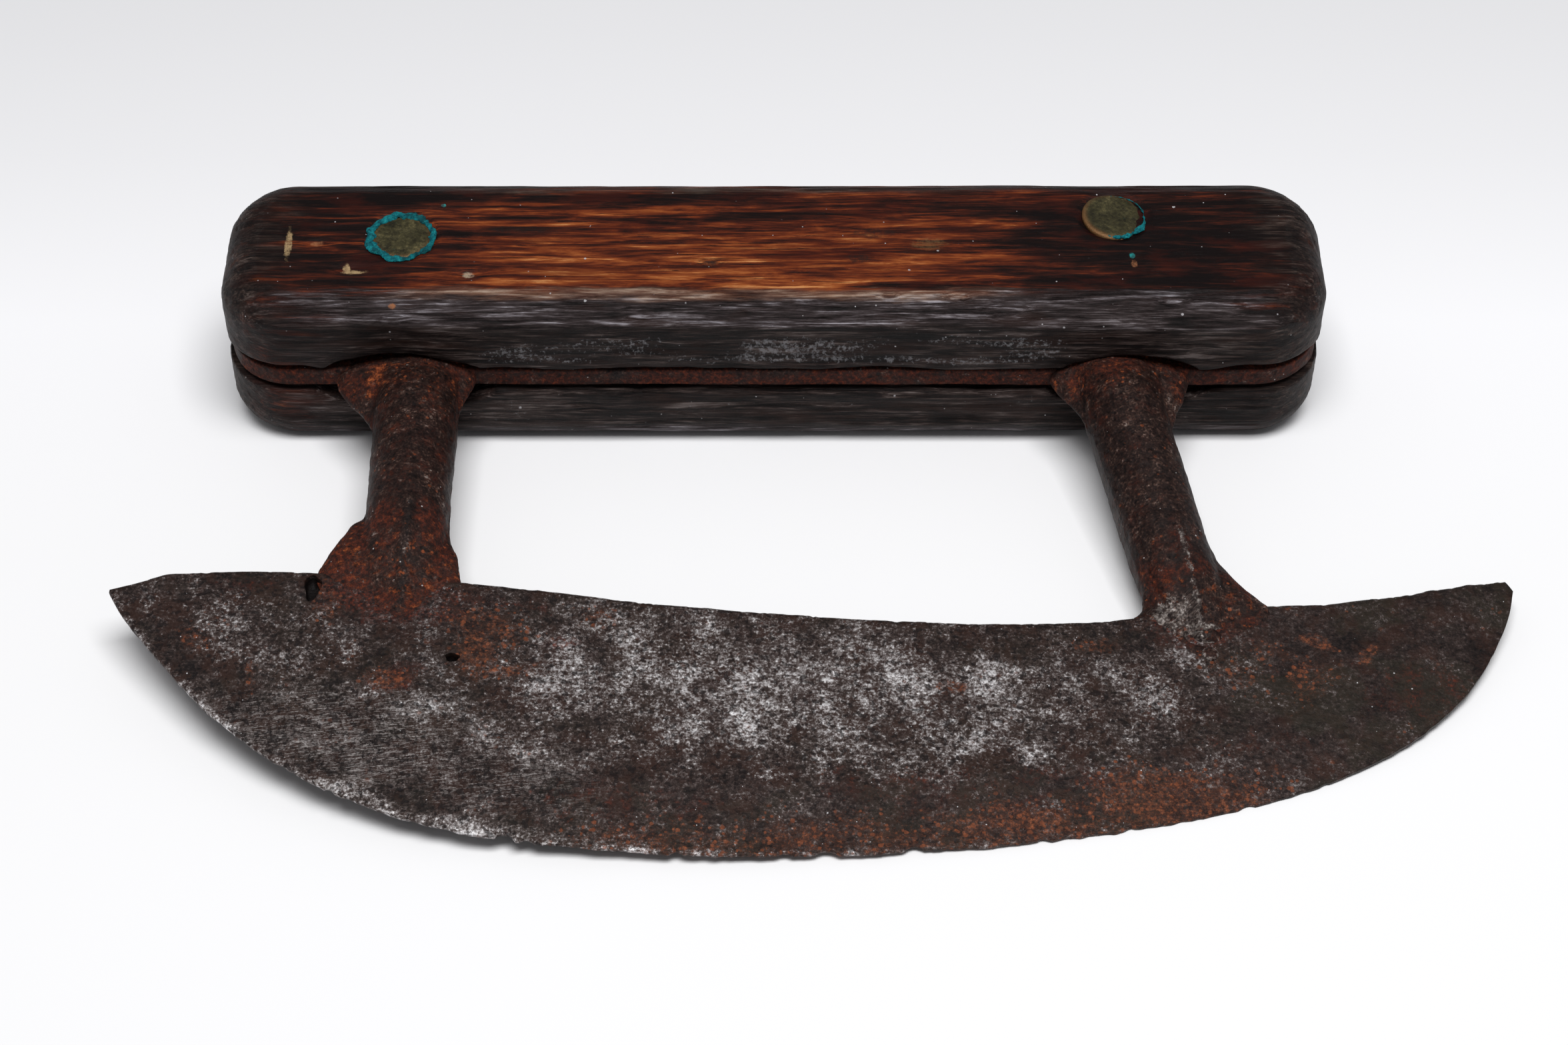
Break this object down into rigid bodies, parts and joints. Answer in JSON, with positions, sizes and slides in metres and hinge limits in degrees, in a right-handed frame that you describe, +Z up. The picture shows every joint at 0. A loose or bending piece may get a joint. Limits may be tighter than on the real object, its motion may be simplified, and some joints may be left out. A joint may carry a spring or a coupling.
{
  "type": "chopping knife",
  "caption": "Chopping knife with a crescent blade carried on round iron posts under a straight handle of wooden scales riveted over a flat iron bar, for rocking and push cuts.",
  "frame": {"origin": "on the table under the middle of the knife as it lies on its side", "axes": "+X along the handle, +Y from the cutting edge to the handle, +Z up, out of the table"},
  "size_m": [0.195, 0.1184, 0.03],
  "materials": {
    "worn_iron": "dark patina, scratched and pitted",
    "rusty_iron": "rusted forged iron",
    "old_wood": "dark hardwood polished by hands",
    "tarnished_brass": "tarnished, verdigris at the rim"
  },
  "bodies": {
    "root": {"blade": "worn_iron", "left_post": "rusty_iron", "right_post": "rusty_iron", "left_foot_pin": "rusty_iron", "right_foot_pin": "rusty_iron", "handle_bar": "rusty_iron", "upper_scale": "old_wood", "lower_scale": "old_wood", "left_rivet_stud": "tarnished_brass", "left_rivet_sleeve": "tarnished_brass", "right_rivet_stud": "tarnished_brass", "right_rivet_sleeve": "tarnished_brass"}
  },
  "joints": []
}
